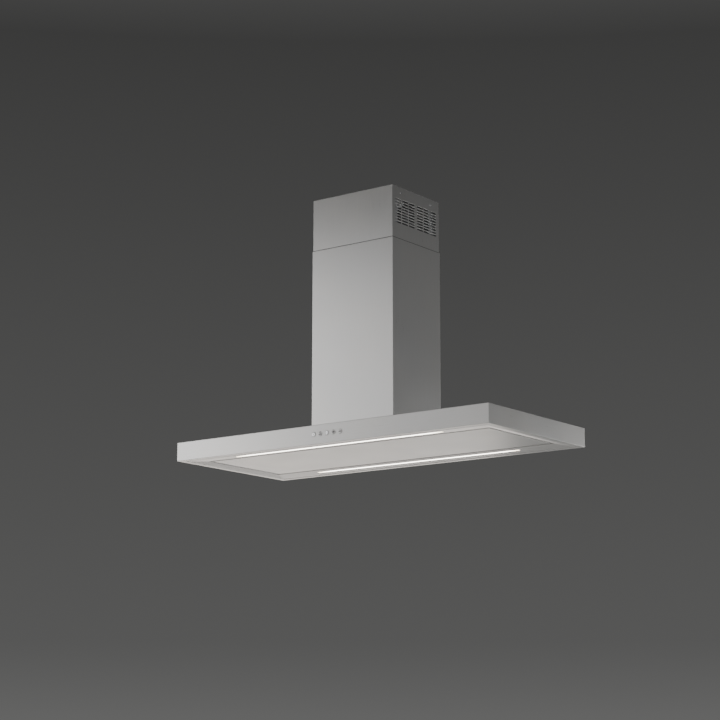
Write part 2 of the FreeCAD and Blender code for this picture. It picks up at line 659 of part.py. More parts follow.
def push_button(i):
    """Round steel button: cap, flange behind the face and a stem, turned about its own axis."""
    body = new_body(f"button_{i + 1}")
    profile = new_sketch(body, f"button_profile_{i + 1}", "XZ_Plane")
    seat = "-sheet - fit_gap"
    outline(profile, [("0", "-stem_end"), ("stem_r", "-stem_end"), ("stem_r", f"{seat} - button_flange"),
                      ("button_flange_r", f"{seat} - button_flange"), ("button_flange_r", seat),
                      ("button_r", seat), ("button_r", "button_proud"), ("0", "button_proud")])
    turned = revolve(body, f"button_turned_{i + 1}", profile)
    crown = size("button_proud")
    round_edges(body, f"button_round_{i + 1}", turned,
                lambda edge: abs(edge.CenterOfMass.z - crown) < 0.01 and edge.BoundBox.ZLength < 0.01)
    return place(body, button_spot(i), Rotation(Vector(1, 0, 0), 90))


def controls_span():
    """Left end, length and low edge of the holder and of the board behind it."""
    return ("button_first_x - holder_overhang", f"{BUTTONS - 1} * button_pitch + 2 * holder_overhang",
            f"{RIM} + button_high - holder_tall / 2")


def button_holder():
    """Moulded guide behind the face: a plate with five bores, end blocks and posts for the board."""
    left, long_side, low = controls_span()
    face = "-canopy_depth / 2"
    parts = [box("holder_plate", (left, f"{face} + holder_front", low),
                 (long_side, "holder_thick", "holder_tall"))]
    for name, start in (("left", left), ("right", f"{left} + {long_side} - holder_post")):
        parts.append(box(f"holder_block_{name}", (start, f"{face} + sheet", low),
                         ("holder_post", "holder_front - sheet", "holder_tall")))
        parts.append(box(f"holder_post_{name}", (start, f"{face} + holder_front + holder_thick", low),
                         ("holder_post", "stem_end - holder_front - holder_thick + switch_deep + 1.8",
                          "holder_tall")))
    bores = [cylinder(f"holder_bore_{i}", (button_spot(i)[0], f"{face} + 1", button_spot(i)[2]),
                      "stem_r + 0.1", "stem_end", along="y") for i in range(BUTTONS)]
    return cut("button_holder", fuse("holder_block", *parts), *bores)


def control_board():
    """Circuit board with one switch behind each button's stem."""
    face = "-canopy_depth / 2 + stem_end + button_travel + 0.3"
    left, long_side, low = controls_span()
    board = box("board", (left, f"{face} + switch_deep", low), (long_side, "board_thick", "holder_tall"))
    switches = [box(f"switch_{i}", (f"{button_spot(i)[0]} - switch_wide / 2", face,
                                    f"{button_spot(i)[2]} - switch_wide / 2"),
                    ("switch_wide", "switch_deep", "switch_wide")) for i in range(BUTTONS)]
    return group("control_board", [board] + switches)


# ---------------------------------------------------------------- hood: blower

def blower_box():
    """Sheet box over the canopy's inlet, open below, with a round outlet in its top."""
    foot = f"{TOP} + ring_thick"
    block = box("blower_block", ("-blower_half_x", "-blower_half_y", foot),
                ("2 * blower_half_x", "2 * blower_half_y", "blower_tall"))
    room = box("blower_room", ("-blower_half_x + sheet", "-blower_half_y + sheet", f"{foot} - 1"),
               ("2 * blower_half_x - 2 * sheet", "2 * blower_half_y - 2 * sheet", "blower_tall - sheet + 1"))
    outlet = cylinder("blower_outlet", ("0", "0", f"{BLOWER_TOP} - 5"), "duct_r - collar_wall", "10")
    return cut("blower_box", block, room, outlet)


def scroll_wire(top):
    """Inside outline of the scroll in the X-Z plane: three quarter arcs of growing radius and an outlet."""
    first = size("scroll_r")
    step = size("scroll_step")
    x, z = size("scroll_x"), -size("scroll_drop")
    angle = math.radians(size("cutoff_angle"))
    throat = Vector(x + first * math.cos(angle), 0, z + first * math.sin(angle))
    left = Vector(x - first, 0, z)
    bottom = Vector(x + step, 0, z - first - step)
    right = Vector(x + step + first + 2 * step, 0, z + step)
    middle = math.radians((size("cutoff_angle") + 180) / 2)
    half = math.sqrt(0.5)
    edges = [
        Part.Arc(throat, Vector(x + first * math.cos(middle), 0, z + first * math.sin(middle)), left),
        Part.Arc(left, Vector(x + step - (first + step) * half, 0, z - (first + step) * half), bottom),
        Part.Arc(bottom, Vector(x + step + (first + 2 * step) * half, 0,
                                z + step - (first + 2 * step) * half), right),
        Part.LineSegment(right, Vector(right.x, 0, top)),
        Part.LineSegment(Vector(right.x, 0, top), Vector(throat.x, 0, top)),
        Part.LineSegment(Vector(throat.x, 0, top), throat),
    ]
    return Part.Wire([edge.toShape() for edge in edges])


def volute_half(end, where):
    """One moulded half of the scroll casing, with a round inlet in its side."""
    wall, half = size("volute_wall"), size("volute_half")
    roof = size("canopy_height") + size("ring_thick") + size("blower_tall") - size("sheet") - size("rim_drop")
    inside = scroll_wire(roof + 20)
    outside = inside.makeOffset2D(wall)
    shell = Part.Face(outside).extrude(Vector(0, where * half, 0))
    shell = shell.cut(Part.Face(inside).extrude(Vector(0, where * (half - wall), 0)))
    inlet = Part.makeCylinder(size("inlet_r"), 4 * wall, Vector(size("scroll_x"), where * half - 2 * wall,
                                                                -size("scroll_drop")), Vector(0, 1, 0))
    above = Part.makeBox(1000, 1000, 1000, Vector(-500, -500, roof))
    item = doc.addObject("Part::Feature", f"volute_{end}")
    item.Shape = shell.cut(inlet).cut(above)
    return item


def impeller():
    """Double-inlet drum: centre disc, hub, forward-leaning blades and two end rings."""
    body = new_body("impeller")
    disc = new_sketch(body, "impeller_disc")
    circle(disc, "0", "0", "impeller_r")
    circle(disc, "0", "0", "shaft_r")
    pad(body, "impeller_disc_pad", disc, "disc_thick").Midplane = True
    hub = new_sketch(body, "impeller_hub")
    circle(hub, "0", "0", "2 * shaft_r")
    circle(hub, "0", "0", "shaft_r")
    pad(body, "impeller_hub_pad", hub, "hub_long").Midplane = True
    blade = new_sketch(body, "impeller_blade")
    root, tip = "impeller_r - blade_depth", "impeller_r - 0.5"
    outline(blade, [(root, "-blade_half_thick"), (tip, "blade_depth / 2 - blade_half_thick"),
                    (tip, "blade_depth / 2 + blade_half_thick"), (root, "blade_half_thick")])
    first = pad(body, "impeller_blade_pad", blade, "2 * impeller_half - 1")
    first.Midplane = True
    doc.recompute()
    blades = body.newObject("PartDesign::PolarPattern", "impeller_blades")
    blades.Originals = [first]
    blades.Axis = (blade, ["N_Axis"])
    blades.Angle = 360
    blades.setExpression("Occurrences", bound("blade_count"))
    body.Tip = blades
    doc.recompute()
    for name, side in SIDES:
        level = inward(side, "impeller_half", "end_ring_thick")
        ring = new_sketch(body, f"impeller_ring_{name}", offset=level)
        circle(ring, "0", "0", "impeller_r")
        circle(ring, "0", "0", "impeller_r - blade_depth / 2")
        pad(body, f"impeller_ring_pad_{name}", ring, "end_ring_thick")
    return place(body, ("scroll_x", "0", "-scroll_drop"), TURN["y"])


def motor():
    """Motor can inside the front half of the impeller, bored through for its shaft."""
    start = ("scroll_x", "-volute_half", "-scroll_drop")
    can = cylinder("motor_can", start, "motor_r", "motor_long", along="y")
    bore = cylinder("motor_bore", ("scroll_x", "-volute_half - 1", "-scroll_drop"), "shaft_r + 0.05",
                    "motor_long + 2", along="y")
    return cut("motor", can, bore)


def motor_shaft():
    return cylinder("motor_shaft", ("scroll_x", "-volute_half + 2", "-scroll_drop"), "shaft_r",
                    "volute_half + 10", along="y")


def motor_bracket():
    """Three-armed spider on the volute's side that carries the motor."""
    centre = ("scroll_x", "-volute_half - upright_sheet", "-scroll_drop")
    parts = [cylinder("spider_plate", centre, "0.7 * motor_r", "upright_sheet", along="y")]
    for i in range(3):
        arm = doc.addObject("Part::Box", f"spider_arm_{i}")
        arm.setExpression("Length", bound("inlet_r + 8"))
        arm.setExpression("Width", bound("upright_sheet"))
        arm.setExpression("Height", bound("spider_arm_wide"))
        swing = Rotation(Vector(0, 1, 0), 30 + 120 * i)
        offset = swing.multVec(Vector(0, 0, -size("spider_arm_wide") / 2))
        parts.append(place(arm, (f"scroll_x + {offset.x:.4f}", "-volute_half - upright_sheet",
                                 f"-scroll_drop + {offset.z:.4f}"), swing))
    return fuse("motor_bracket", *parts)


def outlet_collar():
    """Round spigot for a 150 mm duct, with a base flange and two bores for the damper pin."""
    body = new_body("outlet_collar")
    profile = new_sketch(body, "collar_profile", "XZ_Plane")
    inner, outer = "duct_r - collar_wall", "duct_r"
    outline(profile, [(inner, "0"), ("duct_r + 10", "0"), ("duct_r + 10", "collar_wall"),
                      (outer, "collar_wall"), (outer, "collar_tall"), (inner, "collar_tall")])
    revolve(body, "collar_turned", profile)
    bores = new_sketch(body, "collar_bores", "XZ_Plane")
    circle(bores, "0", "flap_high", "flap_pin_r + 0.02")
    drill = pocket(body, "collar_bore_cut", bores, "2 * duct_r + 10")
    drill.Midplane = True
    doc.recompute()
    return place(body, ("0", "0", BLOWER_TOP))


def damper_pin():
    return cylinder("damper_pin", ("0", "-duct_r + 0.3", f"{BLOWER_TOP} + flap_high"), "flap_pin_r",
                    "2 * duct_r - 0.6", along="y")


def damper_flap(name, side):
    """Half-round flap with two knuckles on the pin."""
    high = f"{BLOWER_TOP} + flap_high"
    level = f"{high} - flap_thick / 2"
    disc = cylinder(f"flap_disc_{name}", ("0", "0", level), "duct_r - collar_wall - 1", "flap_thick")
    keep = box(f"flap_keep_{name}", (outward(side, "flap_inset", "duct_r"), "-duct_r", f"{high} - 5"),
               ("duct_r", "2 * duct_r", "10"))
    plate = doc.addObject("Part::Common", f"flap_plate_{name}")
    plate.Base = disc
    plate.Tool = keep
    parts = [plate]
    bores = []
    for i in (0, 2):
        start = f"{i - 2 + int(side > 0)} * knuckle_pitch + 0.2"
        parts.append(cylinder(f"flap_knuckle_{name}_{i}", ("0", start, high),
                              "flap_pin_r + knuckle_wall", "knuckle_long", along="y"))
        web = (outward(side, "flap_inset - 1.5", "web_long"), start, level)
        parts.append(box(f"flap_web_{name}_{i}", web, ("web_long", "knuckle_long", "flap_thick")))
        bores.append(cylinder(f"flap_bore_{name}_{i}", ("0", f"{start} - 1", high),
                              "flap_pin_r + 0.05", "knuckle_long + 2", along="y"))
    return cut(f"damper_flap_{name}", fuse(f"flap_block_{name}", *parts), *bores)


# ---------------------------------------------------------------- hood: wiring

def wiring_box():
    """Sheet box beside the collar, open towards the middle, with a hole for the gland."""
    low = ("-wiring_x - wiring_half_x", "-wiring_half_y", BLOWER_TOP)
    block = box("wiring_block", low, ("2 * wiring_half_x", "2 * wiring_half_y", "wiring_tall"))
    room = box("wiring_room", (f"{low[0]} + sheet", f"{low[1]} + sheet", f"{BLOWER_TOP} + sheet"),
               ("2 * wiring_half_x", "2 * wiring_half_y - 2 * sheet", "wiring_tall - 2 * sheet"))
    hole = cylinder("wiring_hole", ("-wiring_x", "0", f"{BLOWER_TOP} + wiring_tall - 5"), "gland_r", "10")
    return cut("wiring_box", block, room, hole)


def wiring_lid():
    return box("wiring_lid", ("-wiring_x + wiring_half_x", "-wiring_half_y", BLOWER_TOP),
               ("1.2 * sheet", "2 * wiring_half_y", "wiring_tall"))


def led_driver():
    return box("led_driver", ("-wiring_x - 20", "-wiring_half_y + 8", f"{BLOWER_TOP} + sheet"),
               ("driver_wide", "driver_long", "driver_tall"))


def terminal_block():
    """Strip of five terminals with a screw hole over each."""
    start = "wiring_half_y - terminals_long - 5"
    strip = box("terminal_strip", ("-wiring_x - terminals_wide / 2", start, f"{BLOWER_TOP} + sheet"),
                ("terminals_wide", "terminals_long", "terminals_tall"))
    holes = [cylinder(f"terminal_hole_{i}", ("-wiring_x", f"{start} + {i + 0.5} * terminal_pitch",
                                             f"{BLOWER_TOP} + terminals_tall / 2"),
                      "terminal_hole_r", "terminals_tall") for i in range(TERMINALS)]
    return cut("terminal_block", strip, *holes)


def cable_gland():
    """Gland through the wiring box's top, with a hexagonal nut and a bore for the mains cable."""
    roof = f"{BLOWER_TOP} + wiring_tall"
    barrel = cylinder("gland_barrel", ("-wiring_x", "0", f"{roof} - 6"), "gland_r", "gland_tall")
    nut = hexagon("gland_nut", ("-wiring_x", "0", roof), "1.4 * gland_r", "nut_tall")
    bore = cylinder("gland_bore", ("-wiring_x", "0", f"{roof} - 7"), "gland_bore_r", "gland_tall + 2")
    return cut("cable_gland", fuse("gland_body", barrel, nut), bore)


# ---------------------------------------------------------------- lower chimney cover

def chimney_lower():
    """Lower chimney cover: a bent tube that stands on the canopy and slides up over the upper one."""
    body = new_body("chimney_lower")
    section = new_sketch(body, "lower_section", offset="-chimney_step")
    centred(section, "chimney_width / 2", "chimney_depth / 2")
    centred(section, "chimney_width / 2 - sheet", "chimney_depth / 2 - sheet")
    tube = pad(body, "lower_tube", section, "rim_drop - canopy_height - chimney_step - fit_gap", reverse=True)
    corner = is_upright_corner(tube.Shape.BoundBox.XMax, tube.Shape.BoundBox.YMax)
    round_edges(body, "lower_bends", tube, corner)
    return body


# ---------------------------------------------------------------- suction panel

def suction_panel():
    """Large flat tray of sheet steel that closes the opening all but a narrow gap round it."""
    body = new_body("suction_panel")
    half_x, half_y = "opening_width / 2 - suction_gap", "opening_depth / 2 - suction_gap"
    block = new_sketch(body, "panel_block", offset=PANEL)
    centred(block, half_x, half_y)
    solid = pad(body, "panel_pad", block, "panel_edge")
    bounds = solid.Shape.BoundBox
    corner = is_upright_corner(bounds.XMax, bounds.YMax)

    def wanted(edge):
        return corner(edge) or abs(edge.CenterOfMass.z - bounds.ZMin) < 0.01
    round_edges(body, "panel_bends", solid, wanted)
    room = new_sketch(body, "panel_room", offset=f"{PANEL} + sheet")
    centred(room, f"{half_x} - sheet", f"{half_y} - sheet")
    pocket(body, "panel_hollow", room, "panel_edge", reverse=True)
    return body


def panel_backing():
    """Stiff board inside the tray."""
    half_x = "(opening_width / 2 - suction_gap - sheet - 0.5)"
    half_y = "(opening_depth / 2 - suction_gap - sheet - 0.5)"
    return box("panel_backing", (f"-{half_x}", f"-{half_y}", f"{PANEL} + sheet"),
               (f"2 * {half_x}", f"2 * {half_y}", "backing_thick"))


def hinge_arms():
    """Two arms that stand on the backing, bored for the hinge pins."""
    items = []
    foot = f"{PANEL} + sheet + backing_thick"
    for name, side in SIDES:
        left = inward(side, "hinge_x - ear_thick - fit_gap", "ear_thick")
        arm = box(f"arm_{name}", (left, "hinge_y - arm_wide / 2", foot),
                  ("ear_thick", "arm_wide", f"-hinge_drop + arm_wide / 2 - ({foot})"))
        bore = cylinder(f"arm_bore_{name}", (f"{left} - 1", "hinge_y", "-hinge_drop"), "hinge_pin_r + 0.06",
                        "ear_thick + 2", along="x")
        items.append(cut(f"hinge_arm_{name}", arm, bore))
    return group("hinge_arms", items)


def hinge_ears():
    """Two ears that hang from the canopy's top, each with its pin riveted in."""
    items = []
    roof = f"{TOP} - sheet"
    for name, side in SIDES:
        front, low = "hinge_y - 6", "-hinge_drop - ear_wide / 2"
        ear = box(f"ear_{name}", (inward(side, "hinge_x", "ear_thick"), front, low),
                  ("ear_thick", "ear_wide", f"{roof} - ({low})"))
        foot = box(f"ear_foot_{name}", (f"{side} * hinge_x - ear_foot_long / 2", front,
                                        f"{roof} - upright_sheet"),
                   ("ear_foot_long", "ear_wide", "upright_sheet"))
        pin_long = "2 * ear_thick + fit_gap + 1"
        pin = cylinder(f"ear_pin_{name}", (inward(side, "hinge_x", pin_long), "hinge_y", "-hinge_drop"),
                       "hinge_pin_r", pin_long, along="x")
        items.append(fuse(f"hinge_ear_{name}", ear, foot, pin))
    return group("hinge_ears", items)


def panel_catches():
    """Two posts with a magnet at the foot that hold the panel's front edge."""
    foot = f"{PANEL} + sheet + backing_thick + striker_tall + catch_gap"
    return group("panel_catches", [
        box(f"catch_{name}", (*catch_corner(side), foot),
            ("catch_long", "catch_wide", f"{TOP} - sheet - ({foot})"))
        for name, side in SIDES])


def panel_strikers():
    """Two steel blocks on the backing that meet the magnets."""
    return group("panel_strikers", [
        box(f"striker_{name}", (*catch_corner(side), f"{PANEL} + sheet + backing_thick"),
            ("catch_long", "catch_wide", "striker_tall"))
        for name, side in SIDES])


def catch_corner(side):
    return (f"{side} * hinge_x - catch_long / 2", "-catch_y - catch_wide / 2")


# ---------------------------------------------------------------- build, check and write

def build_nodes():
    nodes = [ceiling_bracket(), vented_chimney(), upper_screws()]
    for end, y in ENDS:
        for name, x in SIDES:
            nodes.append(upper_upright(f"upper_upright_{end}_{name}", x, y))
            nodes.append(lower_upright(f"lower_upright_{end}_{name}", x, y))
    nodes += [base_ring(), base_screws(), clamp_bolts(), frame_ties()]
    nodes += [canopy_shell(), underside_frame(), filter_tray(), hinge_ears(), panel_catches()]
    for end, y in ENDS:
        nodes += [led_profile(end, y), led_diffuser(end, y), volute_half(end, y)]
    for number, i in FILTERS:
        nodes += [filter_frame(number, i), filter_latch(number, i)]
    nodes += [led_boards(), filter_meshes()]
    nodes += [push_button(i) for i in range(BUTTONS)]
    nodes += [button_holder(), control_board()]
    nodes += [blower_box(), impeller(), motor(), motor_shaft(), motor_bracket()]
    nodes += [outlet_collar(), damper_pin()]
    nodes += [damper_flap(name, side) for name, side in SIDES]
    nodes += [wiring_box(), wiring_lid(), led_driver(), terminal_block(), cable_gland()]
    nodes += [chimney_lower(), suction_panel(), panel_backing(), hinge_arms(), panel_strikers()]
    return nodes


nodes = build_nodes()
doc.recompute()
for item in doc.Objects:
    if "Invalid" in item.State or "Error" in item.State:
        raise ValueError(f"{item.Name} failed: {item.State}")
os.makedirs("parts", exist_ok=True)
for node in nodes:
    node.Label = node.Name
    if node.Shape.isNull() or not node.Shape.isValid() or not node.Shape.Solids:
        raise ValueError(f"{node.Name} has a bad shape")
    node.Shape.exportStep(f"parts/{node.Label}.step")
print(len(nodes), "nodes")
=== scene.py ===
import json
import math

import bmesh
import bpy
from mathutils import Matrix, Vector


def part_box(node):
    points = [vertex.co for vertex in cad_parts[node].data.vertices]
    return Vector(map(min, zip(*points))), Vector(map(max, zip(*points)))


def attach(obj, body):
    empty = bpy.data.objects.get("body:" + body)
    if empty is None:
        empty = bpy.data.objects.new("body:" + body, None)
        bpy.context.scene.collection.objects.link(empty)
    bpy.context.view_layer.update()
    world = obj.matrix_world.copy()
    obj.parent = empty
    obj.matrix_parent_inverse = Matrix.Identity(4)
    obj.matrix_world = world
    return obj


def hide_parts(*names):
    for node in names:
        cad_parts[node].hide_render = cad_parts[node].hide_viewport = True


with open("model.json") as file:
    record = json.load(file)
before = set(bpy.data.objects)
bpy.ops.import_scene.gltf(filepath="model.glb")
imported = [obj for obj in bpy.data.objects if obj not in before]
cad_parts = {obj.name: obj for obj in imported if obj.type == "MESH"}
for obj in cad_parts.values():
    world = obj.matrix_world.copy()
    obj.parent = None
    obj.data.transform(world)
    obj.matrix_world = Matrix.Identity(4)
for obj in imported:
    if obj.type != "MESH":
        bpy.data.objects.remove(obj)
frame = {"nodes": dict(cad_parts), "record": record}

# Island range hood. Metres, in the CAD frame: the origin is on the ceiling, +Z is up and the
# buttons face -Y. The sheet metal comes from CAD. This script adds its finishes, with painted shade on
# the chimney's inner face, the symbols on the buttons, the filters' expanded mesh, dark crosses of painted
# shade in the screws' recesses, a dark strip of painted shade at the step between the two chimney covers,
# and the seams.

MM = 0.001
NODES = frame["nodes"]
SLOT_OF = {part["node"]: part["material_slot"] for part in frame["record"]["subparts"]}
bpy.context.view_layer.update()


# ------------------------------------------------------------------ camera

CAMERA_SPOT = Vector((3.609, -4.924, -1.799))
CAMERA_TURN = math.radians(36.73)
CAMERA_TILT = math.radians(11.79)
LENS_MM = 97.56
SENSOR_MM = 36


def make_camera():
    lens = bpy.data.cameras.new("camera")
    lens.lens = LENS_MM
    lens.sensor_width = SENSOR_MM
    camera = bpy.data.objects.new("camera", lens)
    bpy.context.scene.collection.objects.link(camera)
    camera.location = CAMERA_SPOT
    camera.rotation_euler = (math.pi / 2 + CAMERA_TILT, 0, CAMERA_TURN)
    bpy.context.scene.camera = camera


# ------------------------------------------------------------------ node helpers

class Tree:
    """A material's node tree, with short calls for the nodes that the finishes share."""

    def __init__(self, name):
        self.material = bpy.data.materials.new(name)
        self.material.use_nodes = True
        self.nodes = self.material.node_tree.nodes
        self.links = self.material.node_tree.links
        self.shader = self.nodes["Principled BSDF"]
        self.shader.distribution = "MULTI_GGX"

    def add(self, kind, **settings):
        node = self.nodes.new(kind)
        for key, value in settings.items():
            setattr(node, key, value)
        return node

    def link(self, start, end):
        self.links.new(start, end)

    def feed(self, value, socket):
        """Link an output to a socket, or set the socket to a constant."""
        if isinstance(value, bpy.types.NodeSocket):
            self.link(value, socket)
        else:
            socket.default_value = value

    def set(self, **values):
        """Set the shader's own sockets. An underscore stands for a space."""
        for key, value in values.items():
            self.shader.inputs[key.replace("_", " ")].default_value = value

    def position(self):
        return self.add("ShaderNodeTexCoord").outputs["Object"]

    def normal(self):
        return self.add("ShaderNodeNewGeometry").outputs["Normal"]

    def parts(self, vector):
        """A vector's outputs "X", "Y" and "Z"."""
        node = self.add("ShaderNodeSeparateXYZ")
        self.link(vector, node.inputs[0])
        return node.outputs

    def vector_math(self, operation, first, second):
        node = self.add("ShaderNodeVectorMath", operation=operation)
        self.feed(first, node.inputs[0])
        self.feed(second, node.inputs[1])
        return node.outputs[0]

    def noise(self, vector, scale=1.0, detail=2.0, rough=0.5):
        node = self.add("ShaderNodeTexNoise")
        node.inputs["Scale"].default_value = scale
        node.inputs["Detail"].default_value = detail
        node.inputs["Roughness"].default_value = rough
        self.link(vector, node.inputs["Vector"])
        return node.outputs["Fac"]

    def ramp(self, value, stops):
        """A colour ramp of (place, colour) stops."""
        node = self.add("ShaderNodeValToRGB")
        elements = node.color_ramp.elements
        while len(elements) < len(stops):
            elements.new(0.5)
        for element, (place, tone) in zip(elements, stops):
            element.position = place
            element.color = (*tone, 1)
        self.link(value, node.inputs[0])
        return node.outputs["Color"]

    def math(self, operation, first, second=None):
        node = self.add("ShaderNodeMath", operation=operation)
        self.feed(first, node.inputs[0])
        if second is not None:
            self.feed(second, node.inputs[1])
        return node.outputs[0]

    def range(self, value, low, high, from_low=0.0, from_high=1.0):
        """Map a value from one range to low..high, clamped at both ends."""
        node = self.add("ShaderNodeMapRange")
        self.link(value, node.inputs["Value"])
        node.inputs["From Min"].default_value = from_low
        node.inputs["From Max"].default_value = from_high
        node.inputs["To Min"].default_value = low
        node.inputs["To Max"].default_value = high
        return node.outputs["Result"]

    def mix(self, factor, first, second, blend="MIX"):
        """Mix two colours. A Mix node keeps its colour sockets at the places named here."""
        colour_a, colour_b, colour_result = 6, 7, 2
        node = self.add("ShaderNodeMix", data_type="RGBA", blend_type=blend)
        self.feed(factor, node.inputs["Factor"])
        for value, place in ((first, colour_a), (second, colour_b)):
            if isinstance(value, tuple):
                value = (*value, 1)
            self.feed(value, node.inputs[place])
        return node.outputs[colour_result]

    def bump(self, height, strength, distance, normal=None):
        """Feed the shader's normal from a height, on top of another normal if one is given."""
        node = self.add("ShaderNodeBump")
        node.inputs["Strength"].default_value = strength
        node.inputs["Distance"].default_value = distance
        self.link(height, node.inputs["Height"])
        if normal is not None:
            self.link(normal, node.inputs["Normal"])
        self.link(node.outputs["Normal"], self.shader.inputs["Normal"])


def shade(tone, factor):
    return tuple(factor * part for part in tone)


# ------------------------------------------------------------------ finishes

# How finely the brushing's noise varies across and along the grain, per metre.
BRUSH_ACROSS = 1400.0
BRUSH_ALONG = 9.0
SIDE_LIMIT = 0.7
# The chimney's inner face: a dark grey of painted shade, which makes the vents look dark inside, and a
# rougher finish.
INNER_PAINTED_SHADE = (0.15, 0.15, 0.15)
INNER_ROUGHER = 0.25


def upright_grain():
    """The noise's stretch and the brushing's direction on the chimney."""
    return (BRUSH_ACROSS, BRUSH_ACROSS, BRUSH_ALONG), (0.0, 0.0, 1.0)


def level_grain(tree):
    """The same for brushing that runs along X, and along Y on the faces that look sideways."""
    sideways = tree.math("ABSOLUTE", tree.parts(tree.normal())["X"])
    faces_side = tree.math("GREATER_THAN", sideways, SIDE_LIMIT)
    stretch = tree.mix(faces_side, (BRUSH_ALONG, BRUSH_ACROSS, BRUSH_ACROSS),
                       (BRUSH_ACROSS, BRUSH_ALONG, BRUSH_ACROSS))
    along = tree.mix(faces_side, (1.0, 0.0, 0.0), (0.0, 1.0, 0.0))
    return stretch, along


def inside_chimney(tree, where):
    """1 on the upper cover's unbrushed inner face, which is made rougher and darkened with painted shade,
    and 0 on its outside.
    """
    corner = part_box("chimney_upper")[1]
    half_sheet = 0.5 * MM
    spot = tree.parts(where)
    within_x = tree.math("LESS_THAN", tree.math("ABSOLUTE", spot["X"]), corner.x - half_sheet)
    within_y = tree.math("LESS_THAN", tree.math("ABSOLUTE", spot["Y"]), corner.y - half_sheet)
    return tree.math("MULTIPLY", within_x, within_y)


def brushed_steel(name, tone, grain, rough=(0.28, 0.33), edge=2.2 * MM):
    """Satin stainless sheet. Its grain is "upright", or "level" where it runs round the canopy."""
    tree = Tree(name)
    tree.set(Metallic=1.0, Anisotropic=0.35)
    where = tree.position()
    stretch, along = upright_grain() if grain == "upright" else level_grain(tree)
    lines = tree.noise(tree.vector_math("MULTIPLY", where, stretch), 1.0, detail=4, rough=0.62)
    across = tree.vector_math("CROSS_PRODUCT", tree.normal(), along)
    tree.link(across, tree.shader.inputs["Tangent"])
    colour = tree.ramp(lines, [(0.30, shade(tone, 0.965)), (0.72, shade(tone, 1.03))])
    clouds = tree.noise(where, 4.0, detail=2, rough=0.5)
    cast = tree.ramp(clouds, [(0.35, (0.975, 0.98, 0.99)), (0.70, (1.0, 0.995, 0.985))])
    tone_and_inner_shade = tree.mix(1.0, colour, cast, "MULTIPLY")
    base = tree.range(lines, rough[0], rough[1], 0.3, 0.7)
    smudge = tree.range(tree.noise(where, 9.0, detail=2, rough=0.4), -0.008, 0.010, 0.35, 0.65)
    roughness = tree.math("ADD", base, smudge)
    if grain == "upright":
        inside = inside_chimney(tree, where)
        # Painted shade: the inside of the chimney is darkened to a dark grey so that the vents look dark.
        tone_and_inner_shade = tree.mix(inside, tone_and_inner_shade, INNER_PAINTED_SHADE)
        roughness = tree.math("ADD", roughness, tree.math("MULTIPLY", inside, INNER_ROUGHER))
    tree.link(tone_and_inner_shade, tree.shader.inputs["Base Color"])
    tree.link(roughness, tree.shader.inputs["Roughness"])
    rounded = tree.add("ShaderNodeBevel", samples=4)
    rounded.inputs["Radius"].default_value = edge
    tree.bump(lines, 0.05, 0.05 * MM, rounded.outputs[0])
    return tree.material


def galvanised(name, tone):
    """Zinc-coated sheet with its crystal pattern."""
    tree = Tree(name)
    tree.set(Metallic=1.0)
    where = tree.position()
    cells = tree.add("ShaderNodeTexVoronoi", feature="F1")
    cells.inputs["Scale"].default_value = 110
    tree.link(where, cells.inputs["Vector"])
    crystal = tree.parts(cells.outputs["Color"])
    tree.link(tree.ramp(crystal["X"], [(0.0, shade(tone, 0.88)), (1.0, shade(tone, 1.06))]),
              tree.shader.inputs["Base Color"])
    tree.link(tree.range(crystal["Y"], 0.38, 0.56), tree.shader.inputs["Roughness"])
    tree.bump(tree.noise(where, 300, detail=3), 0.12, 0.1 * MM)
    return tree.material


def plated(name, tone):
    """Bright zinc-plated fastener."""
    tree = Tree(name)
    tree.set(Metallic=1.0)
    where = tree.position()
    stains = tree.noise(where, 700, detail=3)
    tree.link(tree.ramp(stains, [(0.3, shade(tone, 0.82)), (0.7, tone)]), tree.shader.inputs["Base Color"])
    tree.link(tree.range(stains, 0.22, 0.38), tree.shader.inputs["Roughness"])
    tree.bump(tree.noise(where, 2500, detail=2), 0.1, 0.05 * MM)
    return tree.material


def aluminium(name, tone, rough=(0.30, 0.42)):
    """Drawn or rolled aluminium with faint lines along its length."""
    tree = Tree(name)
    tree.set(Metallic=1.0)
    where = tree.position()
    lines = tree.noise(tree.vector_math("MULTIPLY", where, (12.0, 1800.0, 1800.0)), 1.0, detail=3)
    tree.link(tree.ramp(lines, [(0.3, shade(tone, 0.90)), (0.7, tone)]), tree.shader.inputs["Base Color"])
    tree.link(tree.range(lines, *rough), tree.shader.inputs["Roughness"])
    tree.bump(lines, 0.08, 0.05 * MM)
    return tree.material


def moulded(name, tone, rough=(0.42, 0.58), grain=2200, spread=0.25):
    """Injection-moulded plastic or paint with a fine texture."""
    tree = Tree(name)
    where = tree.position()
    pits = tree.noise(where, grain, detail=2)
    clouds = tree.noise(where, 14, detail=4)
    tree.link(tree.ramp(clouds, [(0.3, shade(tone, 1 - spread)), (0.7, shade(tone, 1 + spread))]),
              tree.shader.inputs["Base Color"])
    tree.link(tree.range(tree.noise(where, 40, detail=3), *rough), tree.shader.inputs["Roughness"])
    tree.bump(pits, 0.15, 0.1 * MM)
    return tree.material


def circuit_board(name):
    """Green solder mask with lighter copper tracks under it."""
    tree = Tree(name)
    tree.set(Roughness=0.32)
    where = tree.position()
    bricks = tree.add("ShaderNodeTexBrick")
    bricks.inputs["Scale"].default_value = 160
    bricks.inputs["Mortar Size"].default_value = 0.03
    bricks.inputs["Color1"].default_value = (0.016, 0.11, 0.05, 1)
    bricks.inputs["Color2"].default_value = (0.02, 0.14, 0.06, 1)
    bricks.inputs["Mortar"].default_value = (0.06, 0.24, 0.11, 1)
    tree.link(where, bricks.inputs["Vector"])
    tree.link(bricks.outputs["Color"], tree.shader.inputs["Base Color"])
    tree.bump(bricks.outputs["Fac"], 0.2, 0.05 * MM)
    return tree.material


LED_PITCH = 10 * MM
END_FADE = 45 * MM


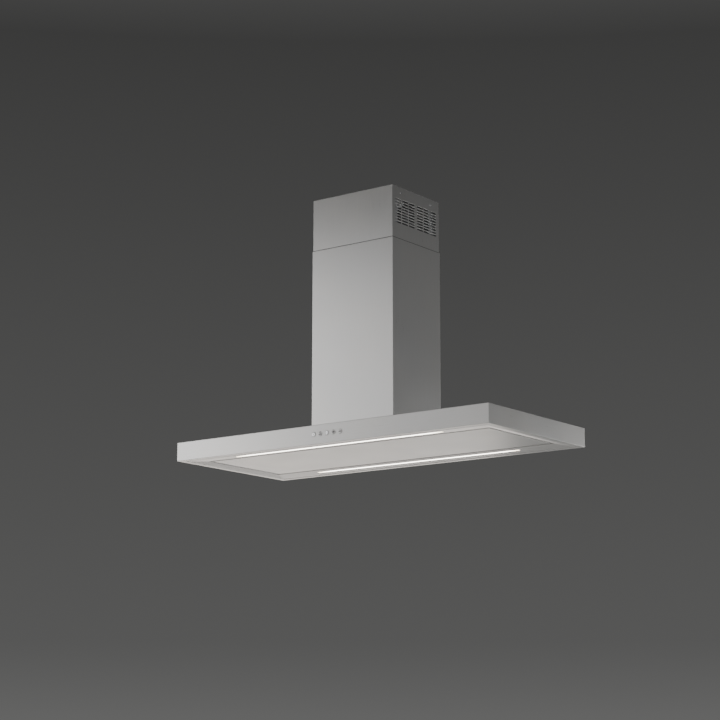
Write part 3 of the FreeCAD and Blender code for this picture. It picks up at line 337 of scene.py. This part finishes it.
def opal_light(name):
    """Lit diffuser: warm white, weaker at both ends of the strip and on its thin sides."""
    tree = Tree(name)
    tree.set(Roughness=0.45, Base_Color=(0.86, 0.84, 0.80, 1))
    along = tree.parts(tree.position())["X"]
    low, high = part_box("led_diffuser_front")
    from_end = tree.math("SUBTRACT", (high.x - low.x) / 2, tree.math("ABSOLUTE", along))
    fade = tree.range(from_end, 0.45, 1.0, 0.0, END_FADE)
    tree.link(tree.ramp(fade, [(0.5, (1.0, 0.86, 0.66)), (1.0, (1.0, 0.94, 0.84))]),
              tree.shader.inputs["Emission Color"])
    chips = tree.math("SINE", tree.math("MULTIPLY", along, 2 * math.pi / LED_PITCH))
    glow = tree.math("MULTIPLY", fade, tree.range(chips, 10.4, 11.2, -1.0, 1.0))
    facing = tree.math("ABSOLUTE", tree.parts(tree.normal())["Z"])
    side_loss = tree.range(facing, 0.10, 1.0, 0.3, 0.9)
    tree.link(tree.math("MULTIPLY", glow, side_loss), tree.shader.inputs["Emission Strength"])
    return tree.material


def lit_symbol(name):
    """White light through a symbol, mottled by the moulding behind it."""
    tree = Tree(name)
    tree.set(Roughness=0.4, Base_Color=(0.8, 0.8, 0.8, 1))
    spots = tree.noise(tree.position(), 900, detail=2)
    tree.link(tree.range(spots, 0.75, 1.0), tree.shader.inputs["Emission Strength"])
    tree.link(tree.ramp(spots, [(0.3, (0.86, 0.93, 1.0)), (0.7, (1.0, 1.0, 1.0))]),
              tree.shader.inputs["Emission Color"])
    return tree.material


FINISH = {
    "canopy_steel": brushed_steel("canopy_steel", (0.66, 0.655, 0.645), "level"),
    "chimney_steel": brushed_steel("chimney_steel", (0.66, 0.655, 0.645), "upright"),
    "button_steel": brushed_steel("button_steel", (0.70, 0.695, 0.685), "level", (0.20, 0.28), 0.4 * MM),
    "galvanised_steel": galvanised("galvanised_steel", (0.56, 0.58, 0.60)),
    "zinc_plate": plated("zinc_plate", (0.70, 0.71, 0.72)),
    "aluminium": aluminium("aluminium", (0.77, 0.77, 0.78)),
    "filter_mesh": aluminium("filter_mesh", (0.70, 0.70, 0.71), (0.34, 0.50)),
    "opal_diffuser": opal_light("opal_diffuser"),
    "circuit_board": circuit_board("circuit_board"),
    "black_plastic": moulded("black_plastic", (0.030, 0.030, 0.032)),
    "grey_plastic": moulded("grey_plastic", (0.33, 0.34, 0.35), spread=0.08),
    "motor_paint": moulded("motor_paint", (0.06, 0.06, 0.065), (0.30, 0.42), 900),
    "panel_board": moulded("panel_board", (0.40, 0.40, 0.39), (0.70, 0.85), 600, 0.03),
    "magnet_housing": moulded("magnet_housing", (0.10, 0.10, 0.10)),
    # Dark print on the buttons' symbols; also the painted shade in the screws' recesses.
    "dark_print": moulded("dark_print", (0.016, 0.016, 0.018), (0.35, 0.5), 3000),
    # Near-black, for the painted shade at the step between the chimney covers.
    "painted_step_shade": moulded("painted_step_shade", (0.012, 0.012, 0.013), (0.85, 0.95), 1500),
    "lit_symbol": lit_symbol("lit_symbol"),
}
CHIMNEYS = ("chimney_upper", "chimney_lower")


def finish_cad_nodes():
    """Give each CAD node the finish of its material slot. The chimney's steel has upright grain."""
    for name, node in NODES.items():
        slot = SLOT_OF[name]
        if slot == "satin_steel":
            slot = "chimney_steel" if name in CHIMNEYS else "canopy_steel"
        node.data.materials.clear()
        node.data.materials.append(FINISH[slot])


# ------------------------------------------------------------------ mesh helpers

def new_piece(name, mesh, finish, body):
    """Link a bmesh as a finished piece of the object that rides on a body."""
    data = bpy.data.meshes.new(name)
    mesh.to_mesh(data)
    mesh.free()
    piece = bpy.data.objects.new(name, data)
    bpy.context.scene.collection.objects.link(piece)
    data.materials.append(FINISH[finish])
    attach(piece, body)
    return piece


def add_slab(mesh, outline, matrix, thick):
    """A closed slab: a flat outline in its own X-Y plane, thick along its own Z, placed by a matrix."""
    lower = [mesh.verts.new(matrix @ Vector((x, y, 0))) for x, y in outline]
    upper = [mesh.verts.new(matrix @ Vector((x, y, thick))) for x, y in outline]
    mesh.faces.new(list(reversed(lower)))
    mesh.faces.new(upper)
    count = len(outline)
    for i in range(count):
        j = (i + 1) % count
        mesh.faces.new((lower[i], lower[j], upper[j], upper[i]))


def add_ring(mesh, matrix, inner, outer, thick, start=0.0, sweep=2 * math.pi, steps=40):
    """A flat ring or part of a ring, as a closed slab."""
    closed = abs(sweep - 2 * math.pi) < 1e-6
    count = steps if closed else steps + 1
    rings = []
    for radius, height in ((inner, 0), (outer, 0), (outer, thick), (inner, thick)):
        ring = []
        for i in range(count):
            angle = start + sweep * i / steps
            spot = Vector((radius * math.cos(angle), radius * math.sin(angle), height))
            ring.append(mesh.verts.new(matrix @ spot))
        rings.append(ring)
    for i in range(steps):
        j = (i + 1) % count
        for k in range(4):
            a, b = rings[k], rings[(k + 1) % 4]
            mesh.faces.new((a[i], a[j], b[j], b[i]))
    if not closed:
        mesh.faces.new([ring[0] for ring in rings])
        mesh.faces.new([ring[-1] for ring in reversed(rings)])


def tidy(mesh):
    """Turn every face outwards."""
    bmesh.ops.recalc_face_normals(mesh, faces=mesh.faces)


# ------------------------------------------------------------------ button symbols

SYMBOL_SUNK = 0.08 * MM
SYMBOL_THICK = 0.10 * MM
STROKE = 1.5 * MM
PLUS_SIZE = 10.6 * MM


def button_face(number):
    """A matrix with its origin on the cap's face, X to the right, Y up and Z out towards the viewer."""
    low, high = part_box(f"button_{number}")
    centre = (low + high) / 2
    spot = Vector((centre.x, low.y + SYMBOL_SUNK, centre.z))
    turn = Matrix(((1, 0, 0), (0, 0, -1), (0, 1, 0))).to_4x4()
    return Matrix.Translation(spot) @ turn


def bar(wide, tall):
    """The outline of a rectangle about its middle."""
    return [(-wide / 2, -tall / 2), (wide / 2, -tall / 2), (wide / 2, tall / 2), (-wide / 2, tall / 2)]


def raised(face, height):
    """The same face, further up its own Y."""
    return face @ Matrix.Translation((0, height, 0))


def power_symbol(mesh, face):
    """A ring that is open at the top, with a short bar in the opening."""
    radius, stem, stem_height = 3.4 * MM, 4.4 * MM, 3.0 * MM
    opens, sweep = math.radians(125), math.radians(290)
    add_ring(mesh, face, radius, radius + STROKE, SYMBOL_THICK, opens, sweep)
    add_slab(mesh, bar(STROKE, stem), raised(face, stem_height), SYMBOL_THICK)


def fan_symbol(mesh, face):
    """Three petals round a hub."""
    middle, half_long, half_wide = 3.6 * MM, 2.5 * MM, 2.3 * MM
    hub_inner, hub_outer = 0.3 * MM, 1.0 * MM
    steps = 16
    petal = []
    for step in range(steps):
        angle = 2 * math.pi * step / steps
        petal.append((middle + half_long * math.cos(angle), half_wide * math.sin(angle)))
    for i in range(3):
        add_slab(mesh, petal, face @ Matrix.Rotation(math.radians(90 + 120 * i), 4, "Z"), SYMBOL_THICK)
    add_ring(mesh, face, hub_inner, hub_outer, SYMBOL_THICK)


def lamp_symbol(mesh, face):
    """A bulb with two bars under it."""
    radius, bulb_height, base_wide = 2.0 * MM, 1.3 * MM, 3.0 * MM
    opens, sweep = math.radians(-62), math.radians(304)
    bulb = raised(face, bulb_height)
    add_ring(mesh, bulb, radius, radius + 0.9 * STROKE, SYMBOL_THICK, opens, sweep)
    for drop in (2.4 * MM, 4.2 * MM):
        add_slab(mesh, bar(base_wide, 0.8 * STROKE), raised(face, -drop), SYMBOL_THICK)


def plus_symbol(mesh, face):
    """A level bar, and one arm above and one below it."""
    arm, arm_height = 3.8 * MM, 3.4 * MM
    minus_symbol(mesh, face)
    for side in (-1, 1):
        add_slab(mesh, bar(2 * STROKE, arm), raised(face, side * arm_height), SYMBOL_THICK)


def minus_symbol(mesh, face):
    add_slab(mesh, bar(PLUS_SIZE, 2 * STROKE), face, SYMBOL_THICK)


SYMBOLS = ((power_symbol, "lit_symbol"), (fan_symbol, "dark_print"), (lamp_symbol, "lit_symbol"),
           (plus_symbol, "dark_print"), (minus_symbol, "dark_print"))


def make_symbols():
    for number, (draw, finish) in enumerate(SYMBOLS, start=1):
        mesh = bmesh.new()
        draw(mesh, button_face(number))
        tidy(mesh)
        new_piece(f"button_symbol_{number}", mesh, finish, f"button_{number}")


# ------------------------------------------------------------------ filters' expanded mesh

DIAMOND_LONG = 9.0 * MM
DIAMOND_SHORT = 5.5 * MM
STRAND = 0.9 * MM
MESH_LAYERS = 4
LAYER_SHIFT = 0.37
MESH_EDGE = 12 * MM


def mesh_layer(mesh, low, high, height, shift):
    """One layer of expanded metal: crossing strands that follow a diamond lattice."""
    for direction in (-1, 1):
        slope = direction * DIAMOND_SHORT / DIAMOND_LONG
        rise = slope * (high.x - low.x)
        first = low.y - max(rise, 0)
        count = int((high.y - low.y + abs(rise)) / DIAMOND_SHORT) + 1
        for i in range(count):
            y = first + (i + shift) * DIAMOND_SHORT
            add_strand(mesh, low, high, y, slope, height + direction * 0.25 * STRAND)


def add_strand(mesh, low, high, y, slope, height):
    """A thin square bar along y + slope * (x - low.x), clipped to the rectangle between low and high."""
    ends = []
    for x in (low.x, high.x):
        where = y + slope * (x - low.x)
        clipped = min(max(where, low.y), high.y)
        ends.append(Vector((x + (clipped - where) / slope, clipped, height)))
    if (ends[1] - ends[0]).length < 2 * STRAND:
        return
    along = (ends[1] - ends[0]).normalized()
    across = Vector((-along.y, along.x, 0)) * STRAND / 2
    up = Vector((0, 0, STRAND / 3))
    corners = [mesh.verts.new(end + a * across + b * up)
               for end in ends for a, b in ((-1, -1), (1, -1), (1, 1), (-1, 1))]
    for face in ((0, 1, 2, 3), (7, 6, 5, 4), (0, 4, 5, 1), (1, 5, 6, 2), (2, 6, 7, 3), (3, 7, 4, 0)):
        mesh.faces.new([corners[k] for k in face])


def make_filter_mesh():
    """Four offset layers in each of the three cassettes."""
    mesh = bmesh.new()
    pack_low, pack_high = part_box("filter_meshes")
    for number in (1, 2, 3):
        rim_low, rim_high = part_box(f"filter_rim_{number}")
        low = Vector((rim_low.x + MESH_EDGE, rim_low.y + MESH_EDGE, pack_low.z + STRAND))
        high = Vector((rim_high.x - MESH_EDGE, rim_high.y - MESH_EDGE, pack_high.z - STRAND))
        for layer in range(MESH_LAYERS):
            height = low.z + (high.z - low.z) * layer / (MESH_LAYERS - 1)
            mesh_layer(mesh, low, high, height, LAYER_SHIFT * layer)
    tidy(mesh)
    piece = new_piece("filter_expanded_mesh", mesh, "filter_mesh", "hood")
    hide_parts("filter_meshes")


# ------------------------------------------------------------------ screws and seams

SCREW_Y = 82 * MM
SCREW_Z = -18 * MM
# Size of the dark crosses of painted shade in the screw heads.
RECESS_LONG = 3.6 * MM
RECESS_WIDE = 0.8 * MM
RECESS_SUNK = 0.08 * MM
RECESS_THICK = 0.10 * MM


def make_screw_recess_shade():
    """A dark cross of painted shade in each of the four screw heads on the chimney's narrow sides, standing
    in for the shaded cross recess.
    """
    low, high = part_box("upper_screws")
    mesh = bmesh.new()
    for side, x in ((-1, low.x), (1, high.x)):
        turn = Matrix.Rotation(side * math.pi / 2, 4, "Y")
        for y in (-SCREW_Y, SCREW_Y):
            face = Matrix.Translation((x - side * RECESS_SUNK, y, SCREW_Z)) @ turn
            for angle in (0, 90):
                slot = face @ Matrix.Rotation(math.radians(angle), 4, "Z")
                add_slab(mesh, bar(RECESS_LONG, RECESS_WIDE), slot, RECESS_THICK)
    tidy(mesh)
    new_piece("screw_recess_shade", mesh, "dark_print", "ceiling_mount")


# Size of the dark strip of painted shade at the step between the chimney covers.
STRIP_CLEAR = 0.3 * MM
STRIP_INSET = 0.35 * MM
STRIP_TALL = 1.8 * MM
STRIP_CHAMFER = 0.5 * MM


def make_step_shade_strip():
    """A near-black strip on the lower cover's top edge: painted shade for the dark line at the step between
    the covers. It stands clear of the upper cover's seam.
    """
    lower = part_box("chimney_lower")[1]
    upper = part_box("chimney_upper")[1]
    inner = Vector((upper.x + STRIP_CLEAR, upper.y + STRIP_CLEAR))
    outer = Vector((lower.x - STRIP_INSET, lower.y - STRIP_INSET))
    foot, head = lower.z, lower.z + STRIP_TALL
    corners = ((-1, -1), (1, -1), (1, 1), (-1, 1))
    mesh = bmesh.new()
    rings = []
    for half, height in ((inner, foot), (outer, foot), (outer, head - STRIP_CHAMFER), (inner, head)):
        rings.append([mesh.verts.new((x * half.x, y * half.y, height)) for x, y in corners])
    for i in range(4):
        j = (i + 1) % 4
        for k in range(4):
            a, b = rings[k], rings[(k + 1) % 4]
            mesh.faces.new((a[i], a[j], b[j], b[i]))
    tidy(mesh)
    new_piece("chimney_step_shade_strip", mesh, "painted_step_shade", "chimney_cover")


SEAM_HALF = 9 * MM
SEAM_SUNK = 0.1 * MM
SEAM_SHEET = 0.2 * MM
SEAM_TAPER = 1.2 * MM
SEAM_CHAMFER = 0.5 * MM
CHAMFER_FOOT = 0.08 * MM
SPOT_PITCH = 45 * MM
SPOT_INNER = 1.9 * MM
SPOT_OUTER = 2.6 * MM
SPOT_FOOT = 0.15 * MM
SPOT_THICK = 0.10 * MM


def seam_section():
    """The lap's outline: tapered into the sheet at its -X edge and chamfered at its +X edge."""
    return [(-SEAM_HALF, -SEAM_SUNK), (SEAM_HALF, -SEAM_SUNK), (SEAM_HALF, CHAMFER_FOOT),
            (SEAM_HALF - SEAM_CHAMFER, SEAM_SHEET), (SEAM_TAPER - SEAM_HALF, SEAM_SHEET), (-SEAM_HALF, 0)]


def make_seams():
    """A lapped seam down the back of each chimney cover, with its row of spot welds."""
    for name, body in (("chimney_upper", "ceiling_mount"), ("chimney_lower", "chimney_cover")):
        low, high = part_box(name)
        tall = high.z - low.z
        mesh = bmesh.new()
        add_slab(mesh, seam_section(), Matrix.Translation((0, high.y, low.z)), tall)
        count = int(tall / SPOT_PITCH)
        first = low.z + (tall - (count - 1) * SPOT_PITCH) / 2
        turn = Matrix.Rotation(-math.pi / 2, 4, "X")
        for i in range(count):
            spot = Matrix.Translation((0, high.y + SPOT_FOOT, first + i * SPOT_PITCH)) @ turn
            add_ring(mesh, spot, SPOT_INNER, SPOT_OUTER, SPOT_THICK, steps=20)
        tidy(mesh)
        new_piece(f"{name}_seam", mesh, "chimney_steel", body)


# ------------------------------------------------------------------ room and light

FLOOR_DROP = 5.6
FLOOR_HALF = 8


def floor_material(tone):
    """Pale matt floor with faint clouds."""
    tree = Tree("floor")
    clouds = tree.noise(tree.position(), 1.5, detail=4)
    tree.link(tree.ramp(clouds, [(0.3, shade(tone, 0.97)), (0.7, tone)]), tree.shader.inputs["Base Color"])
    tree.set(Roughness=0.6)
    return tree.material


def make_floor():
    mesh = bmesh.new()
    bmesh.ops.create_grid(mesh, x_segments=1, y_segments=1, size=FLOOR_HALF)
    data = bpy.data.meshes.new("floor")
    mesh.to_mesh(data)
    mesh.free()
    floor = bpy.data.objects.new("floor", data)
    bpy.context.scene.collection.objects.link(floor)
    floor.location.z = -FLOOR_DROP
    data.materials.append(floor_material((0.74, 0.73, 0.71)))


# Room tone by the height of the direction looked in: -1 is straight down and 1 straight up.
ROOM_TONES = ((-1.0, 0.30), (-0.06, 0.20), (0.06, 0.100), (0.36, 0.050), (0.52, 0.17), (0.75, 0.24),
              (1.0, 0.20))


def make_world():
    """Dim room light, even all round: brighter below and overhead, darkest a little above the horizon."""
    world = bpy.data.worlds.new("studio")
    world.use_nodes = True
    bpy.context.scene.world = world
    nodes, links = world.node_tree.nodes, world.node_tree.links
    where = nodes.new("ShaderNodeTexCoord")
    split = nodes.new("ShaderNodeSeparateXYZ")
    links.new(where.outputs["Generated"], split.inputs[0])
    span = nodes.new("ShaderNodeMapRange")
    span.inputs["From Min"].default_value = -1
    links.new(split.outputs["Z"], span.inputs["Value"])
    ramp = nodes.new("ShaderNodeValToRGB")
    elements = ramp.color_ramp.elements
    while len(elements) < len(ROOM_TONES):
        elements.new(0.5)
    for element, (height, tone) in zip(elements, ROOM_TONES):
        element.position = (height + 1) / 2
        element.color = (tone, tone, 0.985 * tone, 1)
    links.new(span.outputs["Result"], ramp.inputs[0])
    links.new(ramp.outputs["Color"], nodes["Background"].inputs["Color"])


def softbox(name, turn, distance, height, wide, tall, glow, colour=(1, 1, 1)):
    """A soft upright light that the camera doesn't see, at a compass turn in degrees.

    0 is in front of the hood and 90 on its right. The glow is the light's brightness as a mirror
    shows it, whatever its size.
    """
    data = bpy.data.lights.new(name, "AREA")
    data.shape = "RECTANGLE"
    data.size, data.size_y = wide, tall
    data.energy = glow * math.pi * wide * tall
    data.color = colour
    light = bpy.data.objects.new(name, data)
    bpy.context.scene.collection.objects.link(light)
    angle = math.radians(turn)
    light.location = (distance * math.sin(angle), -distance * math.cos(angle), height)
    aim = Vector((0, 0, height))
    light.rotation_euler = (light.location - aim).to_track_quat("Z", "Y").to_euler()
    light.visible_camera = False
    return light


def flat_light(name, height, size, glow):
    """A square light above or under the hood that shines straight down."""
    light = softbox(name, 0, 0, height, size, size, glow)
    light.rotation_euler = (0, 0, 0)


NEAR_WHITE = (1.0, 0.99, 0.985)
WARM = (1.0, 0.93, 0.86)
FAINTLY_WARM = (1.0, 0.97, 0.93)


def make_lights():
    """A ring of softboxes that the steel mirrors, and a flat light each for the hood's top and the floor."""
    softbox("front_wide", -48, 4.6, -0.06, 5.0, 2.2, 0.66, NEAR_WHITE)
    softbox("front_left", -61, 4.6, -0.12, 3.6, 2.2, 1.42, NEAR_WHITE)
    softbox("low_back", -124.3, 5.0, -1.50, 5.2, 1.6, 1.36, WARM)
    softbox("low_right", 146, 5.0, -1.95, 3.0, 0.9, 1.6, FAINTLY_WARM)
    softbox("rear_low", 157, 5.0, -1.21, 2.0, 1.75, 3.6)
    softbox("rear_right", 143, 5.0, 0.4, 4.0, 2.2, 0.08)
    softbox("front_right", 16, 4.8, -0.25, 5.4, 2.6, 0.50)
    softbox("right", 78, 4.8, 0.0, 5.4, 2.6, 0.38)
    softbox("left", -104, 4.8, 0.3, 3.6, 2.0, 0.95)
    softbox("back", -172, 5.0, 0.0, 4.8, 2.6, 0.50)
    flat_light("overhead", 2.6, 3.0, 0.6)
    flat_light("floor_wash", -4.3, 2 * FLOOR_HALF, 0.50)


make_camera()
finish_cad_nodes()
make_symbols()
make_filter_mesh()
make_screw_recess_shade()
make_step_shade_strip()
make_seams()
make_floor()
make_world()
make_lights()

bpy.context.view_layer.update()
